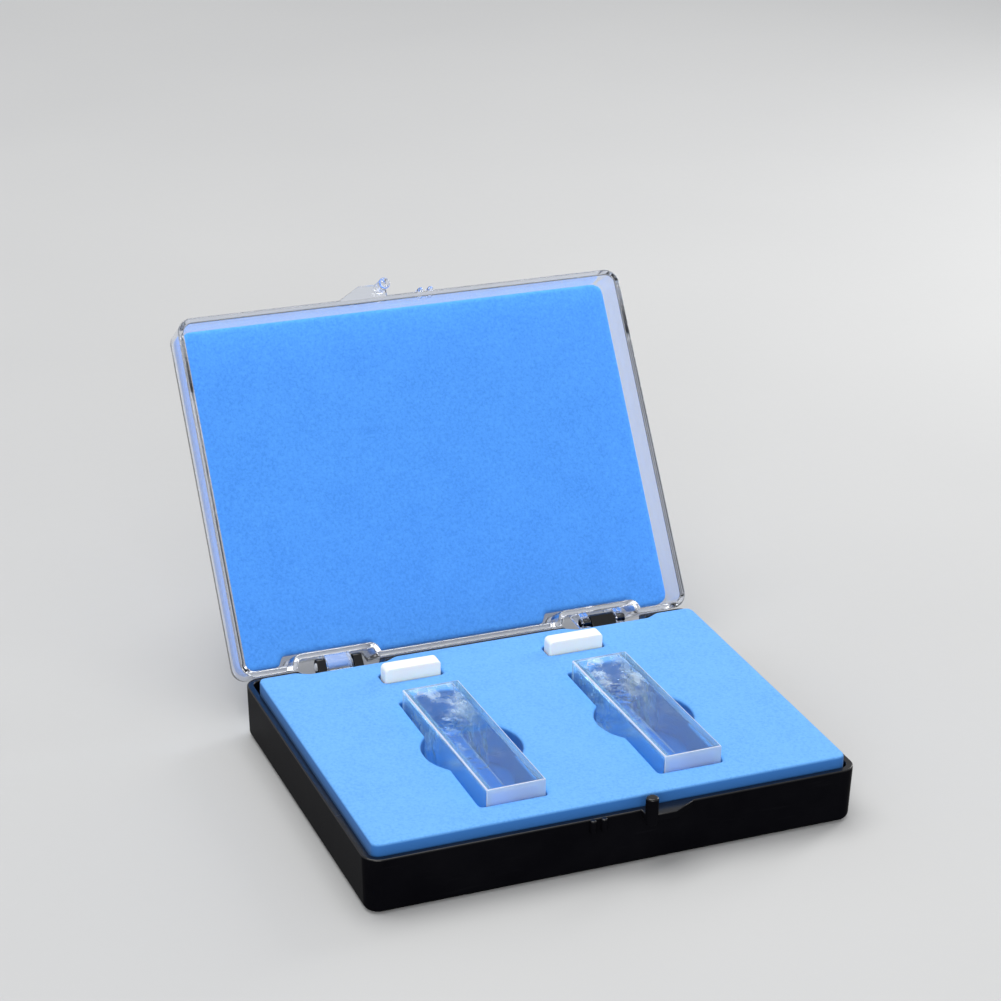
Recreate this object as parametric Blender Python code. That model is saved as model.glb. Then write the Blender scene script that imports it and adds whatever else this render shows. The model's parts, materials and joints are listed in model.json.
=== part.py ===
"""Hinged presentation case with a matched pair of spectrophotometer cuvettes.

A black moulded tray and a clear moulded lid close on two snap-pin hinges at the rear and two peg
latches at the front. The halves mate like twins: each has the barrel of one hinge and the lugs of
the other. A die-cut foam insert on a plain foam sheet holds two glass cuvettes lying on their sides
and, behind each of them, its white stopper standing on edge. A foam pad lines the lid.

Frame: the origin is the centre of the tray's underside, +Z is up and the latches face -Y. The lid is
modelled closed, about its hinge axis, and its parent empty turns it open. Sizes are in millimetres.
"""
import math

import bmesh
import bpy

# --- driving dimensions (mm) -------------------------------------------------------------------
CASE_WIDTH = 104.5
CASE_DEPTH = 79.5
TRAY_HEIGHT = 12.1
LID_HEIGHT = 11.4
RIM_GAP = 0.3
TRAY_WALL = 1.5
LID_WALL = 1.3
FLOOR = 1.6
LID_PLATE = 1.5
CORNER_RADIUS = 3.4
EDGE_RADIUS = 1.5
DRAFT = 0.4
INNER_DRAFT = 0.15
OPEN_ANGLE = 124.0

# hinge recesses in the rear walls, and what is in them
HINGE_X = 30.8
RECESS_DEPTH = 2.2
RECESS_HALF_FLOOR = 8.3
RECESS_RAMP = 0.9
BARREL_RADIUS = 1.5
BARREL_HALF = 2.85
PIN_RADIUS = 0.9
PIN_HALF = 5.35
LUG_RADIUS = 1.7
LUG_HOLE_RADIUS = 1.05
LUG_OFFSET = 4.1
LUG_THICKNESS = 2.0
LUG_ROOT = 6.0
WEB_ROOT = 5.5

# peg latches on the front walls
LATCH_X = {-1: -4.9, 1: 5.6}
PEG_RADIUS = 1.3
PEG_BEYOND_RIM = 3.7
PEG_BEHIND_RIM = 2.3
PEG_STANDOFF = 1.9
FIN_BEND = 4.9
FIN_LENGTH = 9.9
FIN_OUT = 2.7
FIN_THICKNESS = 1.5
RIB_HALF_SPACING = 1.17
RIB_RADIUS = 0.65
RIB_STANDOFF = 0.26
RIB_LENGTH = 3.0

# foam
FOAM_CORNER = 1.6
FOAM_CLEARANCE = 0.4
FOAM_REAR_INSET = 4.5
FOAM_RECESS_DEPTH = 1.6
FOAM_RECESS_HALF_FLOOR = 8.4
FOAM_RECESS_RAMP = 3.0
SHEET_GAP = 0.3
BACKING_TOP = 4.6
INSERT_TOP = 14.4
PAD_CORNER = 2.6
PAD_DEPTH_IN_LID = 6.2
PAD_SIDE_INSET = 1.75
PAD_FRONT_INSET = 1.5
PAD_REAR_INSET = 2.1
PAD_RECESS_HALF_FLOOR = 10.2

# pockets, finger circles and stopper slots, one set on each side of the middle
BAY_X = 19.0
POCKET_WIDTH = 14.4
POCKET_LENGTH = 46.4
POCKET_Y = -8.1
FINGER_RADIUS = 10.3
FINGER_X_SHIFT = 0.2
SLOT_FRONT_Y = 23.85
SLOT_REAR_Y = 28.45
SLOT_LEFT_GAP = 0.3
SLOT_RIGHT_GAP = 0.6

# cuvettes: five fused plates each
CUVETTE_WIDTH = 12.5
CUVETTE_LENGTH = 45.0
CUVETTE_WALL = 1.25
CUVETTE_SEAM = 0.05
CUVETTE_REST_Z = 4.9
CUVETTE_LIES = {"left": (-18.8, -8.1, 1.3), "right": (19.3, -8.0, 1.0)}

# stoppers: a square head and a smaller, shallow plug
STOPPER_HEAD = 12.5
STOPPER_HEAD_THICKNESS = 3.3
STOPPER_PLUG = 9.6
STOPPER_PLUG_DEPTH = 1.0
STOPPER_BEVEL = 0.35
STOPPER_FRONT_Y = 24.0
STOPPER_X = {"left": -19.5, "right": 17.9}

HALF_WIDTH = CASE_WIDTH / 2
HALF_DEPTH = CASE_DEPTH / 2
LID_RIM_Z = TRAY_HEIGHT + RIM_GAP
HINGE_Y = HALF_DEPTH
HINGE_Z = TRAY_HEIGHT + RIM_GAP / 2
BURIED = 0.6
MM = 0.001


# --- helpers -----------------------------------------------------------------------------------
def clear_scene():
    for obj in list(bpy.data.objects):
        bpy.data.objects.remove(obj, do_unlink=True)


def principled(name, colour, roughness, transmission=0.0):
    material = bpy.data.materials.new(name)
    material.use_nodes = True
    shader = material.node_tree.nodes["Principled BSDF"]
    shader.inputs["Base Color"].default_value = (*colour, 1.0)
    shader.inputs["Roughness"].default_value = roughness
    shader.inputs["Metallic"].default_value = 0.0
    shader.inputs["Transmission Weight"].default_value = transmission
    material.diffuse_color = (*colour, 1.0)
    return material


def add_object(name, bm, material, parent=None):
    """Turn a millimetre bmesh into a named object in metres, its faces pointing out."""
    bmesh.ops.recalc_face_normals(bm, faces=bm.faces)
    bmesh.ops.scale(bm, vec=(MM, MM, MM), verts=bm.verts)
    mesh = bpy.data.meshes.new(name)
    bm.to_mesh(mesh)
    bm.free()
    if material is not None:
        mesh.materials.append(material)
    mesh.shade_smooth()
    mesh.set_sharp_from_angle(angle=math.radians(35))
    obj = bpy.data.objects.new(name, mesh)
    bpy.context.collection.objects.link(obj)
    obj.parent = parent
    return obj


def empty_at(name, position, rotation=(0.0, 0.0, 0.0)):
    obj = bpy.data.objects.new(name, None)
    obj.location = [value * MM for value in position]
    obj.rotation_euler = rotation
    bpy.context.collection.objects.link(obj)
    return obj


def combine(target, other, operation):
    """Union or cut `other` into `target`, and leave `other` as a hidden guide."""
    other.parent = target.parent
    other.hide_render = True
    other.display_type = "WIRE"
    modifier = target.modifiers.new(f"{operation.lower()} {other.name}", "BOOLEAN")
    modifier.operation = operation
    modifier.solver = "EXACT"
    modifier.object = other


def loops_to_solid(loops):
    """Bridge closed loops of equal length into one capped body."""
    bm = bmesh.new()
    rings = [[bm.verts.new(point) for point in loop] for loop in loops]
    count = len(rings[0])
    for lower, upper in zip(rings, rings[1:]):
        for i in range(count):
            j = (i + 1) % count
            bm.faces.new((lower[i], lower[j], upper[j], upper[i]))
    bm.faces.new(rings[0])
    bm.faces.new(rings[-1])
    return bm


def arc(centre, radius, start, end, steps):
    """Points of a circular arc in its own plane, with the angles in degrees."""
    angles = [math.radians(start + (end - start) * i / steps) for i in range(steps + 1)]
    return [(centre[0] + radius * math.cos(a), centre[1] + radius * math.sin(a)) for a in angles]


def circle(centre, radius, steps=32):
    return arc(centre, radius, 0, 360, steps)[:-1]


def prism_z(outline, z_low, z_high):
    return loops_to_solid([[(x, y, z) for x, y in outline] for z in (z_low, z_high)])


def prism_x(outline, x_low, x_high):
    return loops_to_solid([[(x, y, z) for y, z in outline] for x in (x_low, x_high)])


def box(x_range, y_range, z_range):
    (left, right), (front, rear) = x_range, y_range
    return prism_z([(left, front), (right, front), (right, rear), (left, rear)], *z_range)


def plan_outline(half_width, front, rear, radius, recess):
    """A rounded rectangle with a hinge recess on each side of its rear edge.

    `recess` is its depth, the half width of its floor and the run of its sloping ends.
    """
    depth, half_floor, ramp = recess
    floor_y = rear - depth
    half_mouth = half_floor + ramp
    points = arc((half_width - radius, front + radius), radius, -90, 0, 7)
    points += arc((half_width - radius, rear - radius), radius, 0, 90, 7)
    for centre in (HINGE_X, -HINGE_X):
        points += [(centre + half_mouth, rear), (centre + half_floor, floor_y)]
        points += [(centre - half_floor, floor_y), (centre - half_mouth, rear)]
    points += arc((radius - half_width, rear - radius), radius, 90, 180, 7)
    points += arc((radius - half_width, front + radius), radius, 180, 270, 7)
    return points


def case_outline(inset):
    """The case's plan, offset inwards."""
    recess = (RECESS_DEPTH, RECESS_HALF_FLOOR + inset, RECESS_RAMP)
    radius = max(CORNER_RADIUS - inset, 0.8)
    return plan_outline(HALF_WIDTH - inset, inset - HALF_DEPTH, HALF_DEPTH - inset, radius, recess)


def open_shell(base_z, rim_z, plate, wall, inner_draft):
    """A tray shape: flat plate at base_z, rounded edge, drafted walls up or down to rim_z."""
    up = math.copysign(1.0, rim_z - base_z)
    levels = []
    for step in range(5):
        angle = math.radians(90 * step / 4)
        inset = DRAFT + EDGE_RADIUS * (1 - math.sin(angle))
        levels.append((inset, base_z + up * EDGE_RADIUS * (1 - math.cos(angle))))
    levels += [(0.0, rim_z), (wall, rim_z), (wall + inner_draft, base_z + up * plate)]
    return loops_to_solid([[(x, y, z) for x, y in case_outline(inset)] for inset, z in levels])


def hull_outline(radius, root_near, root_far):
    """A rounded end on the hinge axis that widens to a root buried in the wall of a recess.

    Its points are (y, z) about the axis, and the roots are heights above it.
    """
    wall = -RECESS_DEPTH
    start, end = (-100, 60) if root_far > 0 else (100, -60)
    root = [(wall, root_far), (wall - BURIED, root_far), (wall - BURIED, root_near), (wall, root_near)]
    return arc((0, 0), radius, start, end, 14) + root


def about_axis(outline, y=HINGE_Y, z=HINGE_Z):
    return [(y + dy, z + dz) for dy, dz in outline]


# --- tray and lid ------------------------------------------------------------------------------
def add_guide(shell, label, bm, operation):
    guide = add_object(f"guide_{shell.name}_{label}", bm, None)
    guide.location = shell.location
    combine(shell, guide, operation)


def latch_parts(side, rim_z, inward):
    """Fin, peg and the mate's twin ribs of one latch half, on the front wall.

    `side` is the sign of x on which the peg stands, and `inward` points from the rim to the half's
    own plate.
    """
    front = -HALF_DEPTH
    peg_x = LATCH_X[side]
    far_x = peg_x + side * FIN_LENGTH
    near_x = peg_x - side * PEG_RADIUS
    fin = [(far_x, front + BURIED), (far_x, front)]
    fin += [(peg_x + side * FIN_BEND, front - FIN_OUT), (peg_x, front - FIN_OUT)]
    fin += [(near_x, front - PEG_STANDOFF), (near_x, front + BURIED)]
    fin_z = sorted((rim_z, rim_z + inward * FIN_THICKNESS))
    yield "fin", prism_z(fin, *fin_z)
    peg_z = sorted((rim_z - inward * PEG_BEYOND_RIM, rim_z + inward * PEG_BEHIND_RIM))
    yield "peg", rounded_peg((peg_x, front - PEG_STANDOFF), *peg_z)
    for sign in (-1, 1):
        rib_x = LATCH_X[-side] + sign * RIB_HALF_SPACING
        rib_z = sorted((rim_z, rim_z + inward * RIB_LENGTH))
        yield "rib", prism_z(circle((rib_x, front - RIB_STANDOFF), RIB_RADIUS, 16), *rib_z)


def rounded_peg(centre, z_low, z_high):
    round_off = 0.4
    levels = [(PEG_RADIUS - round_off, z_low), (PEG_RADIUS, z_low + round_off)]
    levels += [(PEG_RADIUS, z_high - round_off), (PEG_RADIUS - round_off, z_high)]
    return loops_to_solid([[(x, y, z) for x, y in circle(centre, radius, 20)] for radius, z in levels])


def add_latch(shell, side, rim_z, inward):
    for index, (label, bm) in enumerate(latch_parts(side, rim_z, inward)):
        add_guide(shell, f"{label}_{index}", bm, "UNION")


def add_barrel(shell, centre, inward):
    """A barrel with a pin out of each end."""
    web = about_axis(hull_outline(BARREL_RADIUS, inward * RIM_GAP, inward * WEB_ROOT))
    add_guide(shell, "barrel", prism_x(web, centre - BARREL_HALF, centre + BARREL_HALF), "UNION")
    pin = about_axis(circle((0, 0), PIN_RADIUS, 20))
    add_guide(shell, "pin", prism_x(pin, centre - PIN_HALF, centre + PIN_HALF), "UNION")


def add_lugs(shell, centre, inward):
    """Two bored lugs, which a barrel's pins snap into."""
    outline = about_axis(hull_outline(LUG_RADIUS, inward * RIM_GAP, inward * LUG_ROOT))
    for sign in (-1, 1):
        middle = centre + sign * LUG_OFFSET
        lug = prism_x(outline, middle - LUG_THICKNESS / 2, middle + LUG_THICKNESS / 2)
        add_guide(shell, f"lug_{sign:+d}", lug, "UNION")
    bore = about_axis(circle((0, 0), LUG_HOLE_RADIUS, 20))
    add_guide(shell, "bore", prism_x(bore, centre - 2 * LUG_OFFSET, centre + 2 * LUG_OFFSET), "DIFFERENCE")


def make_tray(material):
    tray = add_object("base_tray", open_shell(0.0, TRAY_HEIGHT, FLOOR, TRAY_WALL, DRAFT), material)
    add_barrel(tray, HINGE_X, -1)
    add_lugs(tray, -HINGE_X, -1)
    add_latch(tray, 1, TRAY_HEIGHT, -1)
    return tray


def make_lid(material, hinge):
    """The lid is built closed, in world millimetres, and then hung on the hinge's empty."""
    shell = open_shell(LID_RIM_Z + LID_HEIGHT, LID_RIM_Z, LID_PLATE, LID_WALL, INNER_DRAFT)
    lid = add_object("lid_shell", shell, material, hinge)
    lid.location = (0, -HINGE_Y * MM, -HINGE_Z * MM)
    add_barrel(lid, -HINGE_X, 1)
    add_lugs(lid, HINGE_X, 1)
    add_latch(lid, -1, LID_RIM_Z, 1)
    return lid


# --- foam --------------------------------------------------------------------------------------
def make_foam(material, pad_material, hinge):
    inset = TRAY_WALL + FOAM_CLEARANCE
    recess = (FOAM_RECESS_DEPTH, FOAM_RECESS_HALF_FLOOR, FOAM_RECESS_RAMP)
    plan = plan_outline(HALF_WIDTH - inset, inset - HALF_DEPTH, HALF_DEPTH - FOAM_REAR_INSET,
                        FOAM_CORNER, recess)
    add_object("foam_backing", prism_z(plan, FLOOR + SHEET_GAP, BACKING_TOP), material)
    insert = add_object("foam_insert", prism_z(plan, BACKING_TOP + SHEET_GAP, INSERT_TOP), material)
    low, high = FLOOR, INSERT_TOP + FLOOR
    half_length = POCKET_LENGTH / 2
    half_head = STOPPER_HEAD / 2
    for side, stopper_x in zip((-1, 1), STOPPER_X.values()):
        x = side * BAY_X
        pocket = box((x - POCKET_WIDTH / 2, x + POCKET_WIDTH / 2),
                     (POCKET_Y - half_length, POCKET_Y + half_length), (low, high))
        finger = prism_z(circle((x + FINGER_X_SHIFT, POCKET_Y), FINGER_RADIUS, 48), low, high)
        slot = box((stopper_x - half_head - SLOT_LEFT_GAP, stopper_x + half_head + SLOT_RIGHT_GAP),
                   (SLOT_FRONT_Y, SLOT_REAR_Y), (low, high))
        for label, bm in (("pocket", pocket), ("finger", finger), ("slot", slot)):
            combine(insert, add_object(f"guide_{label}_{side:+d}", bm, None), "DIFFERENCE")

    pad_plan = plan_outline(HALF_WIDTH - PAD_SIDE_INSET, PAD_FRONT_INSET - HALF_DEPTH,
                            HALF_DEPTH - PAD_REAR_INSET, PAD_CORNER,
                            (RECESS_DEPTH, PAD_RECESS_HALF_FLOOR, RECESS_RAMP))
    ceiling = LID_RIM_Z + LID_HEIGHT - LID_PLATE
    pad_bm = prism_z(pad_plan, LID_RIM_Z + PAD_DEPTH_IN_LID, ceiling - SHEET_GAP)
    pad = add_object("lid_pad", pad_bm, pad_material, hinge)
    pad.location = (0, -HINGE_Y * MM, -HINGE_Z * MM)


# --- cuvettes and stoppers ---------------------------------------------------------------------
def make_cuvette(side, material):
    """Two windows above and below, two side walls between them and a base plate at the front."""
    x, y, turn = CUVETTE_LIES[side]
    seat = empty_at(f"cuvette_{side}_seat", (x, y, CUVETTE_REST_Z), (0, 0, math.radians(turn)))
    half_width = CUVETTE_WIDTH / 2
    half_length = CUVETTE_LENGTH / 2
    inner = half_width - CUVETTE_WALL
    low, high = CUVETTE_WALL, CUVETTE_WIDTH - CUVETTE_WALL
    across = (-half_width, half_width)
    along = (-half_length, half_length)
    between = (low + CUVETTE_SEAM, high - CUVETTE_SEAM)
    plates = {
        "window_lower": (across, along, (0, low)),
        "window_upper": (across, along, (high, CUVETTE_WIDTH)),
        "wall_left": ((-half_width, -inner), along, between),
        "wall_right": ((inner, half_width), along, between),
        "base": ((-inner + CUVETTE_SEAM, inner - CUVETTE_SEAM),
                 (-half_length, -half_length + CUVETTE_WALL), between),
    }
    for label, ranges in plates.items():
        add_object(f"cuvette_{side}_{label}", box(*ranges), material, seat)


def make_stopper(side, material):
    """A square head standing on edge, with its plug behind it."""
    x = STOPPER_X[side]
    seat = empty_at(f"stopper_{side}_seat", (x, STOPPER_FRONT_Y, CUVETTE_REST_Z))
    half_head = STOPPER_HEAD / 2
    half_plug = STOPPER_PLUG / 2
    head_back = STOPPER_HEAD_THICKNESS
    head = box((-half_head, half_head), (0, head_back), (0, STOPPER_HEAD))
    plug = box((-half_plug, half_plug), (head_back - BURIED, head_back + STOPPER_PLUG_DEPTH),
               (half_head - half_plug, half_head + half_plug))
    stopper = add_object(f"stopper_{side}", head, material, seat)
    combine(stopper, add_object(f"guide_plug_{side}", plug, None), "UNION")
    bevel = stopper.modifiers.new("soft edges", "BEVEL")
    bevel.width = STOPPER_BEVEL * MM
    bevel.segments = 2


def main():
    clear_scene()
    black = principled("black polystyrene", (0.012, 0.012, 0.015), 0.22)
    clear = principled("clear polystyrene", (0.85, 0.9, 0.97), 0.05, 1.0)
    foam = principled("blue foam", (0.16, 0.48, 0.95), 0.9)
    pad_foam = principled("blue pad foam", (0.08, 0.32, 0.95), 0.9)
    glass = principled("optical glass", (0.93, 0.96, 1.0), 0.02, 1.0)
    ptfe = principled("white fluoropolymer", (0.9, 0.92, 0.92), 0.45)

    hinge = empty_at("lid_hinge_axis", (0, HINGE_Y, HINGE_Z), (-math.radians(OPEN_ANGLE), 0, 0))
    make_tray(black)
    make_lid(clear, hinge)
    make_foam(foam, pad_foam, hinge)
    for side in ("left", "right"):
        make_cuvette(side, glass)
        make_stopper(side, ptfe)


main()
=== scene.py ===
"""Looks of the cuvette presentation case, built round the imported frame.

Every piece is modelled in millimetres in the row frame and turned into metres when its object is
made. The lid and its pad are modelled closed and then turned open about the hinge's axis.
"""

import json
import math

import bmesh
import bpy
from mathutils import Matrix, Vector


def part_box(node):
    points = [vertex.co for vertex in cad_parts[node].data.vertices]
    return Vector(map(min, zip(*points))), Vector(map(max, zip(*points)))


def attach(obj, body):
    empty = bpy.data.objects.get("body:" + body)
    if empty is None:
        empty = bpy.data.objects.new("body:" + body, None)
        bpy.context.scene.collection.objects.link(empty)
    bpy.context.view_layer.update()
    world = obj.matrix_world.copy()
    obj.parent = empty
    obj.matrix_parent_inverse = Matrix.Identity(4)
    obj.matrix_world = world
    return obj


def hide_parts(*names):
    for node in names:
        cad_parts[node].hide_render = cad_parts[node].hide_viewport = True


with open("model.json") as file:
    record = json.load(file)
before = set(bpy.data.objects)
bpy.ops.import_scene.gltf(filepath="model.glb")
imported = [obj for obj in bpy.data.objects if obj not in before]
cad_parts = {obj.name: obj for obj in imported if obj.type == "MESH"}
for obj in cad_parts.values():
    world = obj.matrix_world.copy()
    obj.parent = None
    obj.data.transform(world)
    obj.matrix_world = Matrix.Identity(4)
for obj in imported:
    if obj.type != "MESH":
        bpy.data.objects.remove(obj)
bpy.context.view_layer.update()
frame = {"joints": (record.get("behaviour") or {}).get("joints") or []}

MM = 0.001
TO_METRES = Matrix.Diagonal((MM, MM, MM, 1))
TO_MILLIMETRES = Matrix.Diagonal((1 / MM, 1 / MM, 1 / MM, 1))


def node_box(name):
    """A CAD node's lowest and highest corners at rest, in millimetres."""
    low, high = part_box(name)
    return low / MM, high / MM


# --- dimensions (mm), the main ones read from the frame -------------------------------------------
TRAY_LOW, TRAY_HIGH = node_box("base_tray")
INSERT_LOW, INSERT_HIGH = node_box("foam_insert")
BACKING_LOW, BACKING_HIGH = node_box("foam_backing")
HINGE = next(joint for joint in frame["joints"] if joint["name"] == "lid_hinge")
HINGE_Y, HINGE_Z = HINGE["pos_m"][1] / MM, HINGE["pos_m"][2] / MM
OPEN_ANGLE = abs(HINGE["range_deg"][0])

HALF_WIDTH = TRAY_HIGH.x
HALF_DEPTH = HINGE_Y
RIM_GAP = 0.3
TRAY_HEIGHT = HINGE_Z - RIM_GAP / 2
LID_RIM_Z = HINGE_Z + RIM_GAP / 2
LID_HEIGHT = 11.4
LID_TOP_Z = LID_RIM_Z + LID_HEIGHT
TRAY_WALL = 1.5
LID_WALL = 1.3
TRAY_FLOOR = 1.6
LID_PLATE = 1.5
CORNER_RADIUS = 3.4
EDGE_RADIUS = 1.5
RIM_RADIUS = 0.3
INSIDE_RADIUS = 0.7
DRAFT = 0.4
INNER_DRAFT = 0.15

HINGE_X = 30.8
RECESS_DEPTH = 2.2
RECESS_HALF_FLOOR = 8.3
RECESS_RAMP = 0.9
BARREL_RADIUS = 1.5
BARREL_HALF = 2.85
PIN_RADIUS = 0.9
PIN_HALF = 5.35
LUG_RADIUS = 1.7
LUG_HOLE_RADIUS = 1.05
LUG_OFFSET = 4.1
LUG_THICKNESS = 2.0
LUG_ROOT = 6.0
WEB_ROOT = 5.5
ROOT_SINK = 0.6
PIN_BEVEL = 0.3
SMALL_BEVEL = 0.2
NEAR = 0.02

LATCH_X = {-1: -4.9, 1: 5.6}
PEG_RADIUS = 1.3
PEG_BEYOND_RIM = 3.7
PEG_BEHIND_RIM = 2.3
PEG_STANDOFF = 1.9
FIN_BEND = 4.9
FIN_LENGTH = 9.9
FIN_OUT = 2.7
FIN_THICKNESS = 1.5
FIN_SINK = 0.7
FIN_BEVEL = 0.22
RIB_HALF_SPACING = 1.17
RIB_RADIUS = 0.65
RIB_STANDOFF = 0.26
RIB_LENGTH = 3.0

FOAM_INSET = 1.92
FOAM_REAR_INSET = 4.52
FOAM_RECESS = (1.6, 8.4, 3.0)
FOAM_CORNER = 1.6
FOAM_FILLET = 1.5
PAD_CORNER = 2.6
PAD_FACE_Z = LID_RIM_Z + 6.2
PAD_BACK_Z = LID_TOP_Z - LID_PLATE - 0.3
PAD_SIDE_INSET = 1.77
PAD_FRONT_INSET = 1.52
PAD_REAR_INSET = 2.1
PAD_RECESS = (2.2, 10.2, 0.9)
FOAM_UNEVEN = 0.05

BAY_X = 19.0
POCKET_HALF_WIDTH = 7.2
POCKET_HALF_LENGTH = 23.2
POCKET_Y = -8.1
FINGER_RADIUS = 10.3
FINGER_X_SHIFT = 0.2
SLOT_Y = (23.85, 28.45)
SLOT_LEFT_GAP = 0.3
SLOT_RIGHT_GAP = 0.6
CUT_FROM, CUT_TO = 0.0, 20.0

CUVETTE_HALF_WIDTH = 6.25
CUVETTE_HALF_LENGTH = 22.5
CUVETTE_WALL = 1.25
CUVETTE_CORNER_STEPS = 3
CUVETTE_STRIP_MARGIN = 0.6
CUVETTE_LIES = {"left": (-18.8, -8.1, 1.3), "right": (19.3, -8.0, 1.0)}

STOPPER_HEAD = 12.5
STOPPER_HEAD_THICKNESS = 3.3
STOPPER_PLUG = 9.6
STOPPER_PLUG_DEPTH = 1.0
STOPPER_X = {"left": -19.5, "right": 17.9}

MARK_PLACE = (-3.4, CUVETTE_HALF_LENGTH - 2.9)
MARK_REACH = 1.15
MARK_LINE = 0.5
MARK_PROUD = (0.002, 0.02)

OPENED = (
    Matrix.Translation((0, HINGE_Y, HINGE_Z))
    @ Matrix.Rotation(-math.radians(OPEN_ANGLE), 4, "X")
    @ Matrix.Translation((0, -HINGE_Y, -HINGE_Z))
)
OPENED_IN_METRES = TO_METRES @ OPENED @ TO_MILLIMETRES


# --- outlines -------------------------------------------------------------------------------------
def rounded(points, inset=0.0, closed=True, steps=6, least=0.15):
    """A polygon of (x, y, radius) with its corners rounded and its sides moved left by `inset`.

    A counter-clockwise outline shrinks. Every corner gives the same number of points at any inset.
    """
    count = len(points)
    sides = []
    for i in range(count if closed else count - 1):
        start = Vector(points[i][:2])
        way = (Vector(points[(i + 1) % count][:2]) - start).normalized()
        sides.append((start + Vector((-way.y, way.x)) * inset, way))
    made = []
    if not closed:
        made.append(tuple(sides[0][0]))
    for i in range(0 if closed else 1, count if closed else count - 1):
        (p, before), (q, after) = sides[i - 1], sides[i]
        cross = before.x * after.y - before.y * after.x
        gap = q - p
        corner = p + before * ((gap.x * after.y - gap.y * after.x) / cross)
        bend = 1 if cross > 0 else -1
        radius = max(points[i][2] - bend * inset, least) if closed else points[i][2]
        turn = math.acos(max(-1.0, min(1.0, before.dot(after))))
        start = corner - before * radius * math.tan(turn / 2)
        centre = start + Vector((-before.y, before.x)) * bend * radius
        first = math.atan2(start.y - centre.y, start.x - centre.x)
        for k in range(steps + 1):
            angle = first + bend * turn * k / steps
            made.append((centre.x + radius * math.cos(angle),
                         centre.y + radius * math.sin(angle)))
    if not closed:
        made.append(tuple(Vector(points[-1][:2])))
    return made


def plan_outline(half_width, front, rear, corner, recess, fillet=0.7):
    """A rectangle, counter-clockwise, with a hinge recess on each side of its rear edge.

    `recess` is its depth, the half width of its floor and the run of its sloping ends.
    """
    depth, floor, ramp = recess
    plan = [(half_width, front, corner), (half_width, rear, corner)]
    for x in (HINGE_X, -HINGE_X):
        plan += [(x + floor + ramp, rear, fillet), (x + floor, rear - depth, fillet)]
        plan += [(x - floor, rear - depth, fillet), (x - floor - ramp, rear, fillet)]
    return plan + [(-half_width, rear, corner), (-half_width, front, corner)]


CASE_PLAN = plan_outline(HALF_WIDTH, -HALF_DEPTH, HALF_DEPTH, CORNER_RADIUS,
                         (RECESS_DEPTH, RECESS_HALF_FLOOR, RECESS_RAMP))
FOAM_PLAN = plan_outline(HALF_WIDTH - FOAM_INSET, FOAM_INSET - HALF_DEPTH,
                         HALF_DEPTH - FOAM_REAR_INSET, FOAM_CORNER, FOAM_RECESS, FOAM_FILLET)
PAD_PLAN = plan_outline(HALF_WIDTH - PAD_SIDE_INSET, PAD_FRONT_INSET - HALF_DEPTH,
                        HALF_DEPTH - PAD_REAR_INSET, PAD_CORNER, PAD_RECESS)


def circle(centre, radius, steps=40):
    """A circle's points, counter-clockwise."""
    angles = [2 * math.pi * i / steps for i in range(steps)]
    return [(centre[0] + radius * math.cos(a), centre[1] + radius * math.sin(a)) for a in angles]


# --- meshes ---------------------------------------------------------------------------------------
def bridge(loops, cap=True):
    """A mesh through closed loops of equal length, closed at both ends if `cap` is set."""
    bm = bmesh.new()
    rings = [[bm.verts.new(point) for point in loop] for loop in loops]
    count = len(rings[0])
    for lower, upper in zip(rings, rings[1:]):
        for i in range(count):
            j = (i + 1) % count
            bm.faces.new((lower[i], lower[j], upper[j], upper[i]))
    if cap:
        bm.faces.new(rings[0])
        bm.faces.new(rings[-1])
    bmesh.ops.recalc_face_normals(bm, faces=bm.faces)
    return bm


def as_object(name, bm, matrix=Matrix.Identity(4)):
    """An object in metres from a millimetre bmesh."""
    bmesh.ops.transform(bm, matrix=TO_METRES @ matrix, verts=bm.verts)
    mesh = bpy.data.meshes.new(name)
    bm.to_mesh(mesh)
    bm.free()
    obj = bpy.data.objects.new(name, mesh)
    bpy.context.scene.collection.objects.link(obj)
    return obj


def apply_modifiers(obj):
    """Turn the object's modifiers into mesh."""
    graph = bpy.context.evaluated_depsgraph_get()
    mesh = bpy.data.meshes.new_from_object(obj.evaluated_get(graph), depsgraph=graph)
    obj.modifiers.clear()
    old, obj.data = obj.data, mesh
    bpy.data.meshes.remove(old)
    return obj


def bevelled(obj, width):
    """Round the object's sharp edges over by `width`."""
    bevel = obj.modifiers.new("bevel", "BEVEL")
    bevel.width = width * MM
    bevel.segments = 2
    bevel.limit_method = "ANGLE"
    bevel.angle_limit = math.radians(40)
    return apply_modifiers(obj)


def combine(target, parts, operation="UNION"):
    """Join or cut each part into the target, and remove the part."""
    for part in parts:
        cut = target.modifiers.new("cut", "BOOLEAN")
        cut.operation = operation
        cut.solver = "EXACT"
        cut.object = part
        apply_modifiers(target)
        bpy.data.objects.remove(part)
    return target


def prism_z(name, outline, low, high, width=0.0):
    """An (x, y) outline drawn out from `low` to `high`, with its edges bevelled by `width`."""
    obj = as_object(name, bridge([[(x, y, z) for x, y in outline] for z in (low, high)]))
    return bevelled(obj, width) if width else obj


def prism_x(name, outline, low, high, width=0.0):
    """A (y, z) outline drawn out from `low` to `high`, with its edges bevelled by `width`."""
    obj = as_object(name, bridge([[(x, y, z) for y, z in outline] for x in (low, high)]))
    return bevelled(obj, width) if width else obj


def smooth(obj):
    """Smooth shading between gentle faces, with flat faces kept flat."""
    obj.data.shade_smooth()
    obj.data.set_sharp_from_angle(angle=math.radians(32))
    weighted = obj.modifiers.new("weighted normals", "WEIGHTED_NORMAL")
    weighted.keep_sharp = True
    weighted.weight = 60
    return apply_modifiers(obj)


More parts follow.
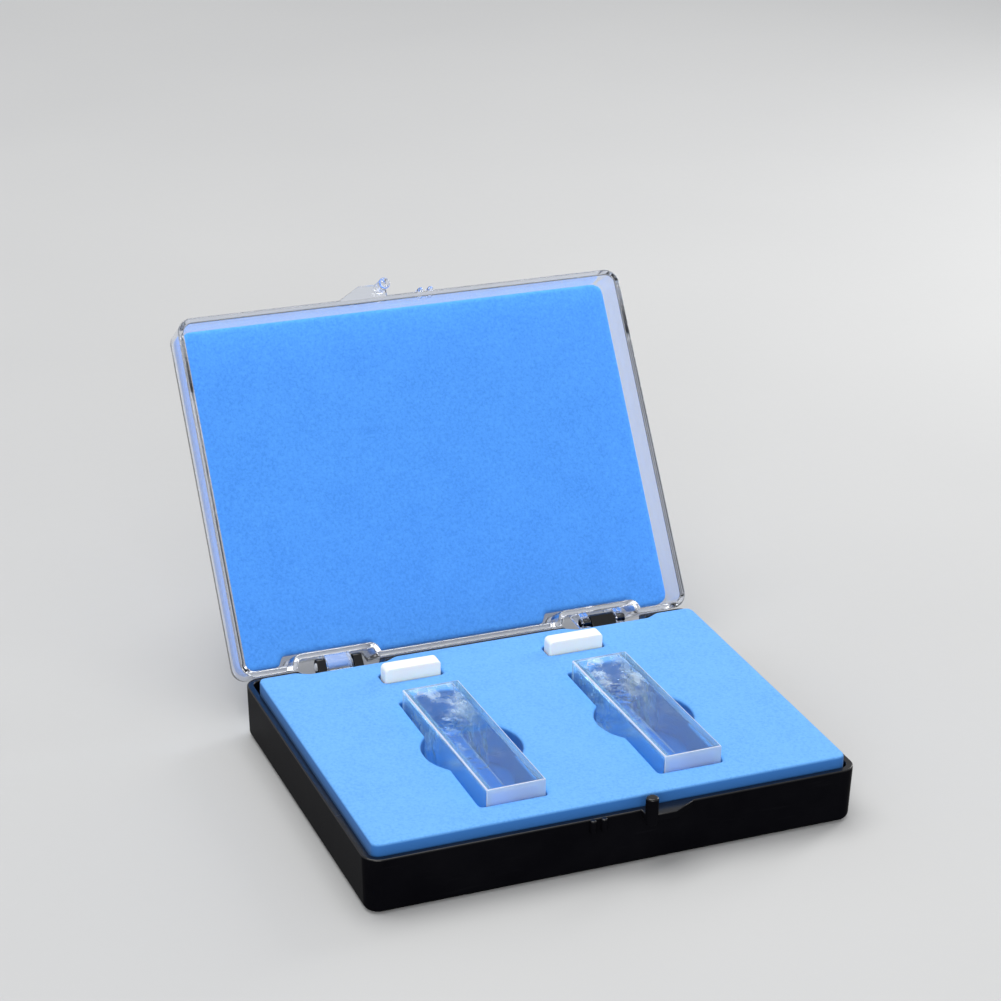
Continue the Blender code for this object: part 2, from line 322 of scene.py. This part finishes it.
def shell(name, base_z, rim_z, plate, wall, inner_draft):
    """A tray shape with a rounded edge round its plate, a rounded rim and a filleted inside."""
    up = math.copysign(1.0, rim_z - base_z)
    inside_z = base_z + up * plate
    profile = [
        (4.5, base_z, 0), (DRAFT, base_z, EDGE_RADIUS),
        (0.0, rim_z, RIM_RADIUS), (wall, rim_z, RIM_RADIUS),
        (wall + inner_draft, inside_z, INSIDE_RADIUS), (5.0, inside_z, 0),
    ]
    path = rounded(profile, closed=False)
    loops = [[(x, y, z) for x, y in rounded(CASE_PLAN, inset, steps=8)] for inset, z in path]
    return as_object(name, bridge(loops))


def hull(radius, low, high):
    """A round end on the hinge's axis, widening to its root in the wall: (y, z) about the axis."""
    wall = -RECESS_DEPTH
    sunk = wall - ROOT_SINK
    start, end = (-100, 60) if high > 0 else (100, -60)
    angles = [math.radians(start + (end - start) * i / 20) for i in range(21)]
    round_end = [(radius * math.cos(a), radius * math.sin(a)) for a in angles]
    return round_end + [(wall, high), (sunk, high), (sunk, low), (wall, low)]


def about_hinge(outline):
    """A (y, z) outline moved from the origin to the hinge's axis."""
    return [(HINGE_Y + y, HINGE_Z + z) for y, z in outline]


def rounded_post(name, centre, radius, low, high, edge):
    """A round post with its ends rounded over."""
    path = rounded([(0.25, low, 0), (radius, low, edge), (radius, high, edge), (0.25, high, 0)],
                   closed=False, steps=5)
    return as_object(name, bridge([[(x, y, z) for x, y in circle(centre, r)] for r, z in path]))


def latch(name, side, rim_z, inward):
    """Fin and peg on one side of the middle and the mate's two ribs on the other."""
    front = -HALF_DEPTH
    peg_x = LATCH_X[side]
    far_x, near_x = peg_x + side * FIN_LENGTH, peg_x - side * PEG_RADIUS
    fin = [(far_x, front + FIN_SINK), (far_x, front)]
    fin += [(peg_x + side * FIN_BEND, front - FIN_OUT), (peg_x, front - FIN_OUT)]
    fin += [(near_x, front - PEG_STANDOFF), (near_x, front + FIN_SINK)]
    low, high = sorted((rim_z, rim_z + inward * FIN_THICKNESS))
    parts = [prism_z(name + "_fin", fin, low, high, FIN_BEVEL)]
    low, high = sorted((rim_z - inward * PEG_BEYOND_RIM, rim_z + inward * PEG_BEHIND_RIM))
    centre = (peg_x, front - PEG_STANDOFF)
    parts.append(rounded_post(name + "_peg", centre, PEG_RADIUS, low, high, 0.45))
    low, high = sorted((rim_z, rim_z + inward * RIB_LENGTH))
    for sign in (-1, 1):
        centre = (LATCH_X[-side] + sign * RIB_HALF_SPACING, front - RIB_STANDOFF)
        parts.append(rounded_post(f"{name}_rib{sign}", centre, RIB_RADIUS, low, high, 0.3))
    return parts


def barrel(x, inward):
    """A hinge's barrel with a pin out of each end."""
    web = about_hinge(hull(BARREL_RADIUS, inward * RIM_GAP, inward * WEB_ROOT))
    pin = about_hinge(circle((0, 0), PIN_RADIUS, 28))
    return [prism_x("web", web, x - BARREL_HALF, x + BARREL_HALF, SMALL_BEVEL),
            prism_x("pin", pin, x - PIN_HALF, x + PIN_HALF, PIN_BEVEL)]


def lugs(x, inward):
    """The two bored lugs that a barrel's pins snap into."""
    outline = about_hinge(hull(LUG_RADIUS, inward * RIM_GAP, inward * LUG_ROOT))
    hole = about_hinge(circle((0, 0), LUG_HOLE_RADIUS, 28))
    half = LUG_THICKNESS / 2
    made = []
    for middle in (x - LUG_OFFSET, x + LUG_OFFSET):
        lug = prism_x("lug", outline, middle - half, middle + half, SMALL_BEVEL)
        made.append(combine(lug, [prism_x("bore", hole, middle - 1.5, middle + 1.5)], "DIFFERENCE"))
    return made


def make_tray():
    """The black tray with its half of each hinge and latch."""
    tray = shell("tray_body", 0.0, TRAY_HEIGHT, TRAY_FLOOR, TRAY_WALL, DRAFT)
    parts = barrel(HINGE_X, -1) + lugs(-HINGE_X, -1) + latch("tray_latch", 1, TRAY_HEIGHT, -1)
    return smooth(combine(tray, parts))


def make_lid():
    """The clear lid, opened, with pin ends and a barrel that have their own materials."""
    lid = shell("lid_clear", LID_TOP_Z, LID_RIM_Z, LID_PLATE, LID_WALL, INNER_DRAFT)
    combine(lid, barrel(-HINGE_X, 1) + lugs(HINGE_X, 1) + latch("lid_latch", -1, LID_RIM_Z, 1))
    for face in lid.data.polygons:
        x, y, z = face.center / MM
        along, from_axis = abs(x + HINGE_X), math.hypot(y - HINGE_Y, z - HINGE_Z)
        on_barrel = along < BARREL_HALF + NEAR and from_axis < BARREL_RADIUS + NEAR
        at_end = PIN_HALF - PIN_BEVEL - NEAR < along < PIN_HALF + NEAR
        on_pin_end = at_end and from_axis < PIN_RADIUS + NEAR
        face.material_index = 2 if on_barrel else int(on_pin_end)
    lid.data.transform(OPENED_IN_METRES)
    return smooth(lid)


# --- foam -----------------------------------------------------------------------------------------
def softened(obj, voxel, rounds):
    """Give a sharp block the soft edges and slightly uneven faces of cut foam."""
    remesh = obj.modifiers.new("voxels", "REMESH")
    remesh.mode = "VOXEL"
    remesh.voxel_size = voxel * MM
    relax = obj.modifiers.new("relax", "SMOOTH")
    relax.factor = 0.5
    relax.iterations = rounds
    apply_modifiers(obj)
    texture = bpy.data.textures.new(obj.name + "_uneven", "CLOUDS")
    texture.noise_scale = 0.009
    texture.noise_depth = 3
    swell = obj.modifiers.new("uneven", "DISPLACE")
    swell.texture = texture
    swell.texture_coords = "GLOBAL"
    swell.strength = FOAM_UNEVEN * MM
    swell.mid_level = 0.6
    apply_modifiers(obj)
    obj.data.shade_smooth()
    return obj


def pocket_outline(side):
    """Half pocket and half finger circle, joined by a small round where the foam gives."""
    x_mid = side * BAY_X
    give = 1.2
    wide = POCKET_HALF_WIDTH
    y_give = math.sqrt((FINGER_RADIUS + give) ** 2 - (wide + give) ** 2)
    angle = math.atan2(y_give, wide + give)
    quarter = [(wide, POCKET_HALF_LENGTH)]
    for k in range(7):
        a = math.pi + angle * k / 6
        quarter.append((wide + give + give * math.cos(a), y_give + give * math.sin(a)))
    for k in range(9):
        a = angle * (1 - k / 8)
        quarter.append((FINGER_RADIUS * math.cos(a), FINGER_RADIUS * math.sin(a)))
    lower = [(x, -y) for x, y in reversed(quarter)]
    right = quarter + lower[1:]
    left = [(-x, y) for x, y in reversed(right)]
    inner = POCKET_HALF_WIDTH + 0.01
    outline = [(x + FINGER_X_SHIFT if abs(x) > inner else x, y) for x, y in right + left]
    return [(x_mid + x, POCKET_Y + y) for x, y in outline]


def make_insert():
    """The insert, cut through by its pockets and slots."""
    insert = prism_z("insert_foam", rounded(FOAM_PLAN), INSERT_LOW.z, INSERT_HIGH.z)
    cuts = []
    for side, x in zip((-1, 1), STOPPER_X.values()):
        cuts.append(prism_z("pocket", pocket_outline(side), CUT_FROM, CUT_TO))
        left, right = x - STOPPER_HEAD / 2 - SLOT_LEFT_GAP, x + STOPPER_HEAD / 2 + SLOT_RIGHT_GAP
        front, rear = SLOT_Y
        slot = [(left, front), (right, front), (right, rear), (left, rear)]
        cuts.append(prism_z("slot", slot, CUT_FROM, CUT_TO))
    combine(insert, cuts, "DIFFERENCE")
    return softened(insert, 0.47, 2)


def make_backing():
    """The plain sheet under the insert."""
    backing = prism_z("backing_foam", rounded(FOAM_PLAN), BACKING_LOW.z, BACKING_HIGH.z)
    return softened(backing, 0.7, 3)


def make_pad():
    """The lid's pad, opened with the lid."""
    pad = prism_z("lid_foam", rounded(PAD_PLAN), PAD_FACE_Z, PAD_BACK_Z)
    softened(pad, 0.5, 3)
    pad.data.transform(OPENED_IN_METRES)
    return pad


# --- cuvettes and stoppers ------------------------------------------------------------------------
def make_cuvette(side, seat_z):
    """A square tube closed at the front, with its matrix and each face's finish.

    Two more points on each window's edge mark off the strips over the side walls.
    """
    half = CUVETTE_HALF_WIDTH
    section = [(half, -half, 0.3), (half, half, 0.3), (-half, half, 0.3), (-half, -half, 0.3)]
    length = CUVETTE_HALF_LENGTH
    wall = CUVETTE_WALL
    path = rounded([(2.0, -length, 0), (0.0, -length, 0.2), (0.0, length, 0.2),
                    (wall, length, 0.15), (wall, wall - length, 0.25), (3.0, wall - length, 0)],
                   closed=False, steps=3)
    loops = []
    for inset, y in path:
        outline = rounded(section, inset, steps=CUVETTE_CORNER_STEPS)
        strip = min(half - wall, half - inset - CUVETTE_STRIP_MARGIN)
        for corners, sign in ((4, -1), (2, 1)):
            at = corners * (CUVETTE_CORNER_STEPS + 1)
            z = outline[at - 1][1]
            outline[at:at] = [(sign * strip, z), (-sign * strip, z)]
        loops.append([(x, y, z + half) for x, z in outline])
    bm = bridge(loops)
    polished, hazed, ground, edge, rippled = range(5)
    for face in bm.faces:
        centre, normal = face.calc_center_median(), face.normal
        depth = half - max(abs(centre.x), abs(centre.z - half))
        if abs(normal.y) > 0.9 and abs(centre.y) > length - 0.1:
            face.material_index = ground
        elif (max(abs(value) for value in normal) < 0.98
              and (depth < 0.3 or centre.y > length - 0.3)):
            face.material_index = edge
        elif depth > wall - 0.1:
            face.material_index = rippled
        else:
            beside = abs(normal.x) > 0.9 or abs(centre.x) > half - wall
            face.material_index = hazed if beside and depth < 0.1 else polished
    x, y, turn = CUVETTE_LIES[side]
    seat = Matrix.Translation((x, y, seat_z)) @ Matrix.Rotation(math.radians(turn), 4, "Z")
    cell = as_object(f"cell_{side}", bm, seat)
    return smooth(cell), seat


def make_mark(side, seat):
    """A small etched triangle near the cell's open end, which says which side is up."""
    middle_x, middle_y = MARK_PLACE
    low, high = (2 * CUVETTE_HALF_WIDTH + proud for proud in MARK_PROUD)
    angles = [math.radians(90 + 120 * k) for k in range(3)]
    outlines = []
    for size in (MARK_REACH, MARK_REACH - MARK_LINE):
        points = [(middle_x + size * math.cos(a), middle_y + size * math.sin(a), 0.12)
                  for a in angles]
        outlines.append(rounded(points, steps=3, least=0.05))
    outer, inner = outlines
    loops = [[(x, y, z) for x, y in outline]
             for outline, z in ((outer, low), (outer, high), (inner, high), (inner, low))]
    bm = bridge(loops + loops[:1], cap=False)
    bmesh.ops.remove_doubles(bm, verts=bm.verts, dist=1e-4)
    bmesh.ops.recalc_face_normals(bm, faces=bm.faces)
    return as_object(f"mark_{side}", bm, seat)


def make_stopper(side):
    """A square head standing on edge with its plug behind it, rounded over at every edge."""
    low, high = node_box(f"stopper_{side}")
    x, z, front = (low.x + high.x) / 2, (low.z + high.z) / 2, low.y
    half = STOPPER_HEAD / 2
    back = front + STOPPER_HEAD_THICKNESS
    end = back + STOPPER_PLUG_DEPTH
    outset = (STOPPER_HEAD - STOPPER_PLUG) / 2
    path = rounded([(3.0, front, 0), (0.0, front, 0.45), (0.0, back, 0.3), (outset, back, 0.15),
                    (outset + 0.1, end, 0.5), (3.5, end, 0)], closed=False, steps=4)
    corners = [(half, -half, 1.0), (half, half, 1.0), (-half, half, 1.0), (-half, -half, 1.0)]
    loops = []
    for inset, y in path:
        outline = rounded(corners, inset, steps=5, least=0.5)
        loops.append([(x + dx, y, z + dz) for dx, dz in outline])
    return smooth(as_object(f"plug_{side}", bridge(loops)))


# --- materials ------------------------------------------------------------------------------------
class Nodes:
    """A node tree being written, with its shader and its object coordinates."""

    def __init__(self, name, material=None):
        self.material = material or bpy.data.materials.new(name)
        self.material.use_nodes = True
        self.tree = self.material.node_tree
        self.shader = self.tree.nodes["Principled BSDF"]
        coordinates = self.tree.nodes.new("ShaderNodeTexCoord")
        self.place, self.facing = coordinates.outputs["Object"], coordinates.outputs["Normal"]

    def new(self, kind, **values):
        """A node with its properties or its inputs set."""
        node = self.tree.nodes.new(kind)
        for key, value in values.items():
            if hasattr(node, key):
                setattr(node, key, value)
            else:
                node.inputs[key.replace("_", " ")].default_value = value
        return node

    def link(self, source, target):
        self.tree.links.new(source, target)

    def noise(self, scale, detail=3.0, roughness=0.55, stretch=None):
        """Noise with `scale` features in each millimetre."""
        place = self.place
        if stretch:
            squeeze = self.new("ShaderNodeMapping")
            squeeze.inputs["Scale"].default_value = stretch
            self.link(place, squeeze.inputs["Vector"])
            place = squeeze.outputs["Vector"]
        node = self.new("ShaderNodeTexNoise", Scale=scale / MM, Detail=detail, Roughness=roughness)
        self.link(place, node.inputs["Vector"])
        return node.outputs["Fac"]

    def cells(self, scale):
        """Round cells with `scale` of them in each millimetre."""
        node = self.new("ShaderNodeTexVoronoi", feature="F1", Scale=scale / MM)
        self.link(self.place, node.inputs["Vector"])
        return node.outputs["Distance"]

    def ramp(self, source, low, high, start, end):
        """From `low` to `high` while the source goes from `start` to `end`."""
        node = self.new("ShaderNodeMapRange", From_Min=start, From_Max=end, To_Min=low, To_Max=high)
        self.link(source, node.inputs["Value"])
        return node.outputs["Result"]

    def colours(self, source, stops):
        """Colours at stops of (position, colour) along the source."""
        node = self.new("ShaderNodeValToRGB")
        ramp = node.color_ramp
        for element, (place, colour) in zip(ramp.elements, (stops[0], stops[-1])):
            element.position, element.color = place, (*colour, 1.0)
        for place, colour in stops[1:-1]:
            ramp.elements.new(place).color = (*colour, 1.0)
        self.link(source, node.inputs["Fac"])
        return node.outputs["Color"]

    def mixed(self, factor, first, second):
        """The first colour, turning into the second as the factor goes from 0 to 1."""
        node = self.new("ShaderNodeMix", data_type="RGBA")
        self.link(factor, node.inputs["Factor"])
        for socket, value in (("A", first), ("B", second)):
            target = next(i for i in node.inputs if i.name == socket and i.type == "RGBA")
            if isinstance(value, tuple):
                target.default_value = (*value, 1.0)
            else:
                self.link(value, target)
        return next(o for o in node.outputs if o.type == "RGBA")

    def part(self, vector, axis):
        """One component of a vector."""
        node = self.new("ShaderNodeSeparateXYZ")
        self.link(vector, node.inputs["Vector"])
        return node.outputs[axis]

    def times(self, first, second):
        """The product of two values."""
        node = self.new("ShaderNodeMath", operation="MULTIPLY")
        self.link(first, node.inputs[0])
        self.link(second, node.inputs[1])
        return node.outputs[0]

    def sum(self, first, second, weight=1.0):
        """The first value plus `weight` times the second."""
        node = self.new("ShaderNodeMath", operation="MULTIPLY_ADD")
        self.link(second, node.inputs[0])
        node.inputs[1].default_value = weight
        self.link(first, node.inputs[2])
        return node.outputs[0]

    def bump(self, height, strength, distance, normal=None):
        """A normal from a height, over `distance` millimetres, on top of another normal."""
        node = self.new("ShaderNodeBump", Strength=strength, Distance=distance * MM)
        self.link(height, node.inputs["Height"])
        if normal is not None:
            self.link(normal, node.inputs["Normal"])
        return node.outputs["Normal"]

    def set(self, **values):
        """Set or link the shader's own inputs."""
        for key, value in values.items():
            socket = self.shader.inputs[key.replace("_", " ")]
            if hasattr(value, "is_output"):
                self.link(value, socket)
            else:
                socket.default_value = (*value, 1.0) if socket.type == "RGBA" else value


def foam_material(name, light, middle, dark, cut=1.0):
    """Fine closed-cell foam: a tight grain of tiny cells, faint mottling and a dusting of sheen.

    Upright faces, cut through the cells, are darkened by the factor `cut`; this darkening is
    painted shade for the sides that face away from the overhead light.
    """
    n = Nodes(name)
    cells = n.cells(1.9)
    fine = n.noise(1.7, 5.0, 0.7)
    mottle = n.noise(0.12, 2.0, 0.5)
    grain = n.sum(n.ramp(fine, 0.1, 0.8, 0.3, 0.7), n.ramp(mottle, -0.5, 0.5, 0.2, 0.8), 0.16)
    colour = n.colours(grain, [(0.15, dark), (0.45, middle), (0.8, light)])
    # Painted shade: upright faces turn to a darker, deeper blue by the factor `cut`.
    if cut < 1.0:
        shaded_side_colour = tuple(channel * cut ** power for channel, power in zip(middle, (1.7, 1.15, 0.75)))
        colour = n.mixed(n.ramp(n.part(n.facing, "Z"), 1.0, 0.0, 0.15, 0.85), colour, shaded_side_colour)
    n.set(Base_Color=colour)
    n.set(Roughness=n.ramp(fine, 0.85, 1.0, 0.3, 0.7))
    n.set(Specular_IOR_Level=0.12)
    n.set(Sheen_Weight=0.12, Sheen_Roughness=0.5, Sheen_Tint=(0.75, 0.88, 1.0))
    n.set(Normal=n.bump(fine, 0.3, 0.08, n.bump(cells, 0.25, 0.07)))
    return n.material


def black_material():
    """Glossy moulded polystyrene, with flow waves, faint haze and rubbed spots.

    Its upright faces have much less gloss, which keeps them as dark as they are in studio light.
    """
    n = Nodes("black_polystyrene")
    haze = n.noise(0.09, 4.0, 0.6)
    scuff = n.noise(0.8, 2.0, 0.5, stretch=(0.12, 1.0, 1.6))
    body = n.colours(n.ramp(haze, 0.0, 1.0, 0.3, 0.7),
                     [(0.0, (0.0025, 0.0025, 0.0036)), (1.0, (0.0042, 0.0042, 0.0056))])
    n.set(Base_Color=n.mixed(n.ramp(scuff, 0.0, 0.2, 0.66, 0.8), body, (0.012, 0.012, 0.015)))
    n.set(Roughness=n.sum(n.ramp(haze, 0.16, 0.25, 0.3, 0.7),
                          n.ramp(scuff, 0.0, 0.1, 0.62, 0.8)))
    n.set(IOR=1.5, Specular_IOR_Level=n.ramp(n.part(n.facing, "Z"), 0.004, 0.55, 0.08, 0.7))
    n.set(Normal=n.bump(n.noise(0.16, 2.0, 0.4), 0.05, 0.25))
    return n.material


CLEAR_SHADOW = (0.93, 0.95, 0.97)
GLASS_SHADOW = (0.6, 0.76, 0.86)
GLASS_TINT = (0.9, 0.965, 1.0)
GLASS_IOR = 1.47
PLASTIC_IOR = 1.57
GLASS_WAVES = (0.05, 2.0, 0.03, 0.1)
FROST = (5.0, 2.0, 0.25, 0.05)
FROST_ROUGHNESS = (0.3, 0.45)


def clear_material(name, tint, ior, roughness, waves, shadow=CLEAR_SHADOW, clarity=1.0):
    """Clear plastic or glass. Rays from lamps pass it, so that what is behind it is lit.

    `waves` are the scale, detail, strength and height of its unevenness. Ground glass has a lower
    clarity, and what it doesn't pass it scatters as white.
    """
    n = Nodes(name)
    haze = n.noise(0.2, 4.0, 0.6)
    low, high = roughness
    scale, detail, strength, height = waves
    light = tuple(min(1.0, channel * 1.02) for channel in tint)
    n.set(Base_Color=n.colours(haze, [(0.35, tint), (0.7, light)]))
    n.set(Roughness=n.ramp(haze, low, high, 0.35, 0.75))
    n.set(IOR=ior, Transmission_Weight=clarity)
    n.set(Normal=n.bump(n.noise(scale, detail), strength, height))
    path = n.new("ShaderNodeLightPath")
    clear = n.new("ShaderNodeBsdfTransparent")
    clear.inputs["Color"].default_value = (*shadow, 1.0)
    mix = n.new("ShaderNodeMixShader")
    n.link(path.outputs["Is Shadow Ray"], mix.inputs[0])
    n.link(n.shader.outputs[0], mix.inputs[1])
    n.link(clear.outputs[0], mix.inputs[2])
    output = next(node for node in n.tree.nodes if node.type == "OUTPUT_MATERIAL")
    n.link(mix.outputs[0], output.inputs["Surface"])
    return n.material


def rippled_material(smooth_y, rippled_y):
    """The cell's inner faces: polished in front, and wavy towards the open end, with white patches
    there that are painted highlights.
    """
    material = clear_material("rippled_glass", GLASS_TINT, GLASS_IOR, (0.0, 0.03), GLASS_WAVES,
                              GLASS_SHADOW)
    n = Nodes(material.name, material)
    ragged = 12 * MM
    start, end = (y * MM + ragged / 2 for y in (smooth_y, rippled_y))
    patchy_y = n.sum(n.part(n.place, "Y"), n.noise(0.2, 2.0, 0.5), ragged)
    rising = n.ramp(patchy_y, 0.0, 1.0, start, end)
    waves = n.times(rising, n.noise(0.11, 1.0, 0.4, stretch=(1.4, 0.7, 1.0)))
    n.set(Normal=n.bump(waves, 0.8, 2.0))
    n.set(Roughness=n.times(rising, n.ramp(n.noise(0.3, 4.0, 0.6), 0.0, 0.35, 0.4, 0.6)))
    # Painted highlight: white, less clear patches towards the open end stand in for bright
    # reflections there.
    patches = n.ramp(n.noise(0.2, 3.0, 0.55, stretch=(1.5, 0.7, 1.0)), 0.06, 0.55, 0.5, 0.64)
    painted_glare = n.times(rising, patches)
    n.set(Transmission_Weight=n.ramp(painted_glare, 1.0, 0.0, 0.0, 1.0))
    n.set(Base_Color=n.mixed(painted_glare, GLASS_TINT, (1.0, 0.96, 0.97)))
    return material


def ptfe_material():
    """Turned fluoropolymer: waxy white, faint clouding and fine tool lines."""
    n = Nodes("white_fluoropolymer")
    cloud = n.noise(0.6, 3.0, 0.5)
    lines = n.noise(2.2, 2.0, 0.5, stretch=(0.15, 1.0, 1.0))
    n.set(Base_Color=n.colours(cloud, [(0.3, (0.99, 0.985, 0.87)), (0.7, (1.0, 1.0, 0.91))]))
    n.set(Roughness=n.ramp(lines, 0.38, 0.55, 0.3, 0.7), Specular_IOR_Level=0.4)
    n.set(Subsurface_Weight=0.25, Subsurface_Scale=0.002)
    n.set(Normal=n.bump(lines, 0.12, 0.08))
    return n.material


def mark_material():
    """Etched glass: white, rough and partly see-through."""
    n = Nodes("etched_mark")
    grain = n.noise(6.0, 2.0, 0.6)
    n.set(Base_Color=n.colours(grain, [(0.3, (0.55, 0.62, 0.78)), (0.7, (0.8, 0.85, 0.95))]))
    n.set(Roughness=n.ramp(grain, 0.5, 0.8, 0.3, 0.7), Transmission_Weight=0.35)
    return n.material


def floor_material():
    """Pale studio paper."""
    n = Nodes("floor_paper")
    tone = n.noise(0.004, 3.0, 0.5)
    n.set(Base_Color=n.colours(tone, [(0.3, (0.545, 0.552, 0.562)), (0.7, (0.575, 0.582, 0.59))]))
    n.set(Roughness=n.ramp(n.noise(0.3), 0.75, 0.9, 0.3, 0.7), Specular_IOR_Level=0.2)
    return n.material


def dress(obj, body, slot, *materials):
    """Give a piece its materials and the body that it rides on; `slot` is not used."""
    for material in materials:
        obj.data.materials.append(material)
    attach(obj, body)
    return obj


# --- the case -------------------------------------------------------------------------------------
# The insert's upright sides get painted shade by the factor `cut`.
foam_blue = foam_material("blue_foam", (0.172, 0.465, 0.93), (0.152, 0.427, 0.9),
                          (0.115, 0.355, 0.82), cut=0.44)
# The backing sheet: a darker blue foam, darkened further by painted shade for the pockets' floors,
# where it is seen.
sheet_blue_with_pocket_shade = foam_material("blue_sheet_foam_with_pocket_shade", (0.03, 0.3, 0.82), (0.024, 0.26, 0.75),
                           (0.018, 0.21, 0.66))
pad_blue = foam_material("blue_pad_foam", (0.1, 0.37, 0.97), (0.08, 0.318, 0.91),
                         (0.06, 0.262, 0.81))
glass = clear_material("optical_glass", GLASS_TINT, GLASS_IOR, (0.0, 0.02), GLASS_WAVES,
                       GLASS_SHADOW)
hazed_glass = clear_material("hazed_glass", (0.48, 0.8, 1.0), GLASS_IOR, (0.1, 0.22),
                             (2.0, 2.0, 0.15, 0.05), GLASS_SHADOW, clarity=0.84)
ground_glass = clear_material("ground_glass", (0.68, 0.79, 0.98), GLASS_IOR, FROST_ROUGHNESS,
                              FROST, GLASS_SHADOW, clarity=0.5)
# The cell's rounded edges: whitish, mostly scattering glass, a painted highlight for the bright
# lines on polished bevels.
edge_glass = clear_material("edge_glass", (0.86, 0.88, 1.0), GLASS_IOR, FROST_ROUGHNESS,
                            FROST, GLASS_SHADOW, clarity=0.3)
rippled_glass = rippled_material(POCKET_Y + 3.0, POCKET_Y + 15.0)
lid_plastic = clear_material("clear_polystyrene", (0.88, 0.915, 1.0), PLASTIC_IOR, (0.01, 0.05),
                             (0.08, 2.0, 0.06, 0.25))
# The barrel: greyish, partly clouded plastic, a painted highlight for the white glints on its clear
# surface.
barrel_glint_plastic = clear_material("barrel_glint_polystyrene", (0.78, 0.83, 0.88), PLASTIC_IOR, (0.12, 0.3),
                              (0.6, 2.0, 0.3, 0.2), clarity=0.76)
# The pin ends: whitish, mostly scattering plastic, a painted highlight for the glint on each pin
# end.
pin_glint_plastic = clear_material("pin_glint_polystyrene", (0.93, 0.95, 1.0), PLASTIC_IOR, (0.25, 0.4),
                             (1.0, 2.0, 0.2, 0.05), clarity=0.3)

tray = dress(make_tray(), "tray", "black_plastic", black_material())
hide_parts("base_tray")
lid = dress(make_lid(), "lid", "clear_plastic", lid_plastic, pin_glint_plastic, barrel_glint_plastic)
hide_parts("lid_shell")

for piece, body, slot, material, node in (
    (make_insert(), "tray", "blue_foam", foam_blue, "foam_insert"),
    (make_backing(), "tray", "blue_foam", sheet_blue_with_pocket_shade, "foam_backing"),
    (make_pad(), "lid", "blue_pad_foam", pad_blue, "lid_pad"),
):
    dress(piece, body, slot, material)
    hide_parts(node)

white = ptfe_material()
etched = mark_material()
for side in ("left", "right"):
    seat_z = node_box(f"cuvette_{side}_window_lower")[0].z
    cell, seat = make_cuvette(side, seat_z)
    dress(cell, f"cuvette_{side}", "optical_glass",
          glass, hazed_glass, ground_glass, edge_glass, rippled_glass)
    plates = ("window_lower", "window_upper", "wall_left", "wall_right", "base")
    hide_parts(*(f"cuvette_{side}_{plate}" for plate in plates))
    dress(make_mark(side, seat), f"cuvette_{side}", "optical_glass", etched)
    plug = dress(make_stopper(side), f"stopper_{side}", "white_fluoropolymer", white)
    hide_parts(f"stopper_{side}")


# --- stage, lamps and camera ----------------------------------------------------------------------
STAGE_RADIUS = 6000.0
STAGE_LOW, STAGE_HIGH = -20.0, -0.02
WARM = (1.0, 0.985, 0.955)
CAMERA_AT = (-195.41, -453.64, 276.87)
LOOK_AT = (-10.11, 0.0, 63.62)
CAMERA_ROLL = math.radians(0.882)
LENS = 97.375


def aim(obj, place, target, roll=0.0):
    """Stand obj at `place` and turn it to `target`, both in millimetres, then roll it."""
    back = (Vector(place) - Vector(target)).normalized()
    right = Vector((0, 0, 1)).cross(back).normalized()
    up = back.cross(right)
    turned_right = math.cos(roll) * right + math.sin(roll) * up
    turned_up = math.cos(roll) * up - math.sin(roll) * right
    rotation = Matrix((turned_right, turned_up, back)).transposed().to_4x4()
    obj.matrix_world = Matrix.Translation(Vector(place) * MM) @ rotation


def softbox(name, place, target, size, power):
    """A slightly warm rectangular lamp, in millimetres and watts."""
    lamp = bpy.data.lights.new(name, "AREA")
    lamp.shape = "RECTANGLE"
    lamp.size, lamp.size_y = size[0] * MM, size[1] * MM
    lamp.energy = power
    lamp.color = WARM
    obj = bpy.data.objects.new(name, lamp)
    bpy.context.scene.collection.objects.link(obj)
    aim(obj, place, target)


floor = prism_z("stage_floor", circle((0, 0), STAGE_RADIUS, 96), STAGE_LOW, STAGE_HIGH)
floor.data.materials.append(floor_material())

softbox("overhead", (-145, 300, 1500), (0, 10, 0), (1500, 1110), 15.7)
softbox("right_strip", (560, 240, 260), (20, 20, 30), (160, 420), 1.4)
softbox("front_fill", (-410, -1010, 430), (0, 10, 30), (820, 410), 5.6)

world = bpy.data.worlds.new("studio")
world.use_nodes = True
background = world.node_tree.nodes["Background"]
background.inputs["Color"].default_value = (0.85, 0.86, 0.88, 1.0)
background.inputs["Strength"].default_value = 0.54
bpy.context.scene.world = world

camera_data = bpy.data.cameras.new("camera")
camera_data.sensor_width = 36.0
camera_data.lens = LENS
camera_data.clip_start, camera_data.clip_end = 0.01, 50.0
camera = bpy.data.objects.new("camera", camera_data)
bpy.context.scene.collection.objects.link(camera)
aim(camera, CAMERA_AT, LOOK_AT, CAMERA_ROLL)
bpy.context.scene.camera = camera

scene = bpy.context.scene
scene.view_settings.view_transform = "Standard"
scene.cycles.max_bounces = 24
scene.cycles.transmission_bounces = 20
scene.cycles.transparent_max_bounces = 16
scene.cycles.glossy_bounces = 20
